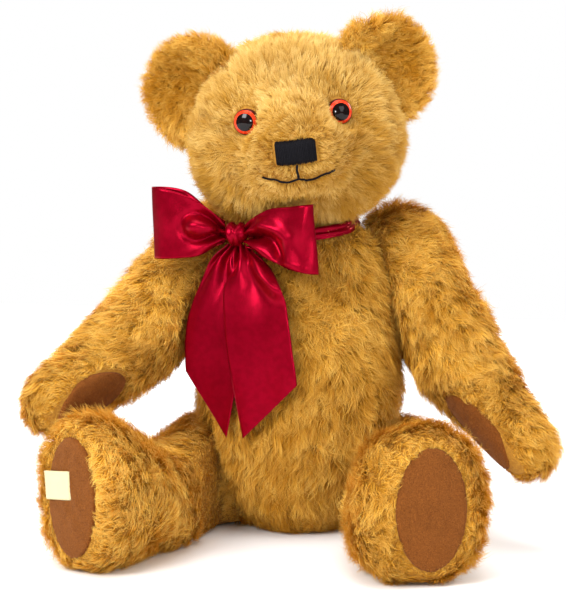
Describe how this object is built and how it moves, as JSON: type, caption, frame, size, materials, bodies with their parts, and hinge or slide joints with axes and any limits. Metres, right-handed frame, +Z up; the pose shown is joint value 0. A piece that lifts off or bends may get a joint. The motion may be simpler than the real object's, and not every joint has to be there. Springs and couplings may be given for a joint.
{
  "type": "jointed teddy bear",
  "caption": "Seated soft toy bear in golden mohair with disc-jointed head, arms and legs, felt pads, glossy eyes, stitched nose and a satin ribbon bow.",
  "frame": {"origin": "middle of the flat seat, on the surface the bear sits on", "axes": "+Z up; -Y is the way the torso faces; +X is the bear's own left"},
  "size_m": [0.2937, 0.2335, 0.3045],
  "materials": {
    "mohair_plush": "golden mohair pile",
    "stuffing": "loose polyester fibre",
    "felt": "brown wool felt",
    "hardboard": "smooth pressed board",
    "zinc_steel": "zinc plated",
    "eye_plastic": "polished amber and black",
    "washer_plastic": "moulded",
    "black_thread": "satin-stitched cotton",
    "woven_label": "plain woven tape",
    "crimson_satin": "double-faced satin ribbon"
  },
  "bodies": {
    "torso": {"torso_cover": "mohair_plush", "torso_stuffing": "stuffing", "neck_body_disc": "hardboard", "shoulder_left_body_disc": "hardboard", "shoulder_right_body_disc": "hardboard", "hip_left_body_disc": "hardboard", "hip_right_body_disc": "hardboard", "body_washers": "zinc_steel", "ribbon_neck_band": "crimson_satin", "bow_knot": "crimson_satin", "bow_loop_left": "crimson_satin", "bow_loop_right": "crimson_satin", "bow_tail_left": "crimson_satin", "bow_tail_right": "crimson_satin"},
    "head": {"head_cover": "mohair_plush", "head_stuffing": "stuffing", "ear_left": "mohair_plush", "ear_right": "mohair_plush", "eye_left": "eye_plastic", "eye_right": "eye_plastic", "eye_lock_washers": "washer_plastic", "nose_stitching": "black_thread", "mouth_stitching": "black_thread", "neck_head_disc": "hardboard", "neck_head_washer": "zinc_steel", "neck_bolt": "zinc_steel", "neck_nut": "zinc_steel"},
    "arm_left": {"arm_left_cover": "mohair_plush", "arm_left_stuffing": "stuffing", "paw_left_pad": "felt", "arm_left_disc": "hardboard", "arm_left_washer": "zinc_steel", "arm_left_bolt": "zinc_steel", "arm_left_nut": "zinc_steel"},
    "arm_right": {"arm_right_cover": "mohair_plush", "arm_right_stuffing": "stuffing", "paw_right_pad": "felt", "arm_right_disc": "hardboard", "arm_right_washer": "zinc_steel", "arm_right_bolt": "zinc_steel", "arm_right_nut": "zinc_steel"},
    "leg_left": {"leg_left_cover": "mohair_plush", "leg_left_stuffing": "stuffing", "foot_left_pad": "felt", "leg_left_disc": "hardboard", "leg_left_washer": "zinc_steel", "leg_left_bolt": "zinc_steel", "leg_left_nut": "zinc_steel"},
    "leg_right": {"leg_right_cover": "mohair_plush", "leg_right_stuffing": "stuffing", "foot_right_pad": "felt", "leg_right_disc": "hardboard", "leg_right_washer": "zinc_steel", "leg_right_bolt": "zinc_steel", "leg_right_nut": "zinc_steel", "foot_label": "woven_label"}
  },
  "joints": [
    {"name": "neck_turn", "type": "hinge", "parent": "torso", "child": "head", "pos_m": [0.002, 0, 0.186], "axis": [-0.0777, -0.1392, 0.9872], "range_deg": [-90, 90]},
    {"name": "shoulder_left_swing", "type": "hinge", "parent": "torso", "child": "arm_left", "pos_m": [0.04, 0.016, 0.158], "axis": [-0.8365, -0.483, -0.2588], "range_deg": [-50, 70]},
    {"name": "shoulder_right_swing", "type": "hinge", "parent": "torso", "child": "arm_right", "pos_m": [-0.0435, 0.005, 0.158], "axis": [-0.9596, 0.1692, 0.225], "range_deg": [-50, 20]},
    {"name": "hip_left_swing", "type": "hinge", "parent": "torso", "child": "leg_left", "pos_m": [0.0395, 0.009, 0.033], "axis": [-0.9613, -0.2756, 0], "range_deg": [-95, 5]},
    {"name": "hip_right_swing", "type": "hinge", "parent": "torso", "child": "leg_right", "pos_m": [-0.041, 0.001, 0.033], "axis": [-0.9994, 0.0349, 0], "range_deg": [-95, 5]}
  ]
}
